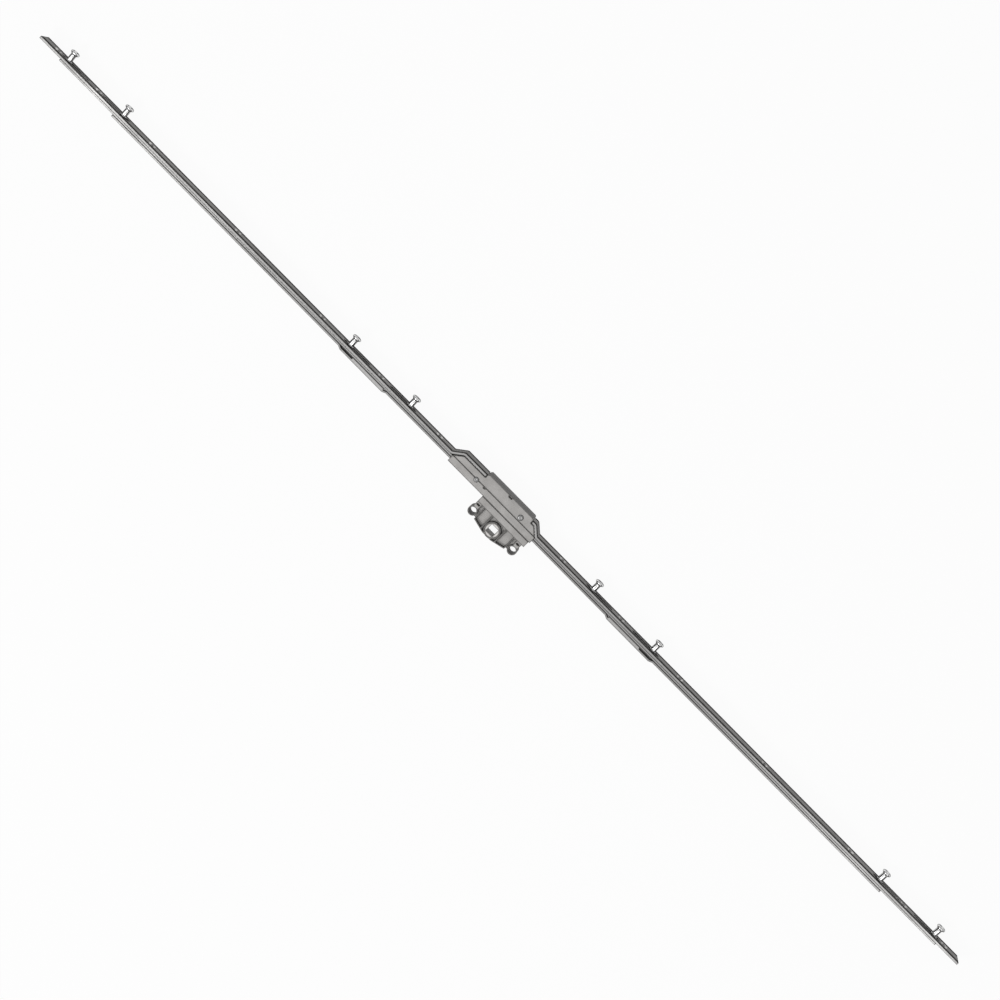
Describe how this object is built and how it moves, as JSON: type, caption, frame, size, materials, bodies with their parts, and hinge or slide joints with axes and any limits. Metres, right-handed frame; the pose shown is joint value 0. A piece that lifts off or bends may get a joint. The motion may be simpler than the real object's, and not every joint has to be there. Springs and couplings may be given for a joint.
{
  "type": "window espagnolette gearbox",
  "caption": "Espagnolette gearbox for a tilt and turn window: cast case with square spindle hub, long faceplate and opposing cam rails with mushroom cams",
  "frame": {"origin": "on the spindle axis, in the parting plane of the two case halves", "axes": "+X along the rails, +Y out of the sash toward the cams, +Z along the spindle toward the side the picture shows"},
  "size_m": [1, 0.0378, 0.0176],
  "materials": {
    "plated_strip": "dull silver plating on rolled steel strip",
    "zinc_casting": "as cast zinc, tumbled, matte",
    "rail_steel": "zinc plated strip, satin",
    "rivet_steel": "plated steel, satin",
    "cam_steel": "bright plated steel"
  },
  "bodies": {
    "frame": {"faceplate": "plated_strip", "housing_near": "zinc_casting", "housing_far": "zinc_casting", "idler_axle": "rivet_steel", "tie_rivet": "rivet_steel"},
    "hub": {"spindle_hub": "zinc_casting"},
    "idler": {"idler_pinion": "rivet_steel"},
    "drive_slide": {"drive_rack": "rail_steel", "rail_left_lower": "rail_steel", "rail_right_upper": "rail_steel"},
    "reversing_slide": {"reversing_rack": "rail_steel", "rail_left_upper": "rail_steel", "rail_right_lower": "rail_steel"},
    "cam_left_1": {"cam_left_1": "cam_steel"},
    "cam_left_2": {"cam_left_2": "cam_steel"},
    "cam_left_3": {"cam_left_3": "cam_steel"},
    "cam_left_4": {"cam_left_4": "cam_steel"},
    "cam_right_1": {"cam_right_1": "cam_steel"},
    "cam_right_2": {"cam_right_2": "cam_steel"},
    "cam_right_3": {"cam_right_3": "cam_steel"},
    "cam_right_4": {"cam_right_4": "cam_steel"}
  },
  "joints": [
    {"name": "hub_turn", "type": "hinge", "parent": "frame", "child": "hub", "pos_m": [0, 0, 0], "axis": [0, 0, 1], "range_deg": [0, 90]},
    {"name": "drive_travel", "type": "slide", "parent": "frame", "child": "drive_slide", "axis": [-1, 0, 0], "range_m": [0, 0.018]},
    {"name": "reversing_travel", "type": "slide", "parent": "frame", "child": "reversing_slide", "axis": [1, 0, 0], "range_m": [0, 0.018]},
    {"name": "idler_turn", "type": "hinge", "parent": "frame", "child": "idler", "pos_m": [-0.0363, 0.0198, 0], "axis": [0, 0, 1], "range_deg": [-345, 0]},
    {"name": "cam_left_1_setting", "type": "hinge", "parent": "reversing_slide", "child": "cam_left_1", "pos_m": [-0.4863, 0.022, 0], "axis": [0, 1, 0], "continuous": true},
    {"name": "cam_left_2_setting", "type": "hinge", "parent": "drive_slide", "child": "cam_left_2", "pos_m": [-0.4268, 0.022, 0], "axis": [0, 1, 0], "continuous": true},
    {"name": "cam_left_3_setting", "type": "hinge", "parent": "reversing_slide", "child": "cam_left_3", "pos_m": [-0.1782, 0.022, 0], "axis": [0, 1, 0], "continuous": true},
    {"name": "cam_left_4_setting", "type": "hinge", "parent": "drive_slide", "child": "cam_left_4", "pos_m": [-0.1128, 0.022, 0], "axis": [0, 1, 0], "continuous": true},
    {"name": "cam_right_1_setting", "type": "hinge", "parent": "drive_slide", "child": "cam_right_1", "pos_m": [0.4607, 0.022, 0], "axis": [0, 1, 0], "continuous": true},
    {"name": "cam_right_2_setting", "type": "hinge", "parent": "reversing_slide", "child": "cam_right_2", "pos_m": [0.4012, 0.022, 0], "axis": [0, 1, 0], "continuous": true},
    {"name": "cam_right_3_setting", "type": "hinge", "parent": "drive_slide", "child": "cam_right_3", "pos_m": [0.1526, 0.022, 0], "axis": [0, 1, 0], "continuous": true},
    {"name": "cam_right_4_setting", "type": "hinge", "parent": "reversing_slide", "child": "cam_right_4", "pos_m": [0.0872, 0.022, 0], "axis": [0, 1, 0], "continuous": true}
  ],
  "couplings": [
    {"joint": "hub_turn", "follows": "drive_travel", "rad_per_m": 87.266},
    {"joint": "reversing_travel", "follows": "drive_travel", "ratio": 1},
    {"joint": "idler_turn", "follows": "drive_travel", "rad_per_m": -333.33}
  ]
}
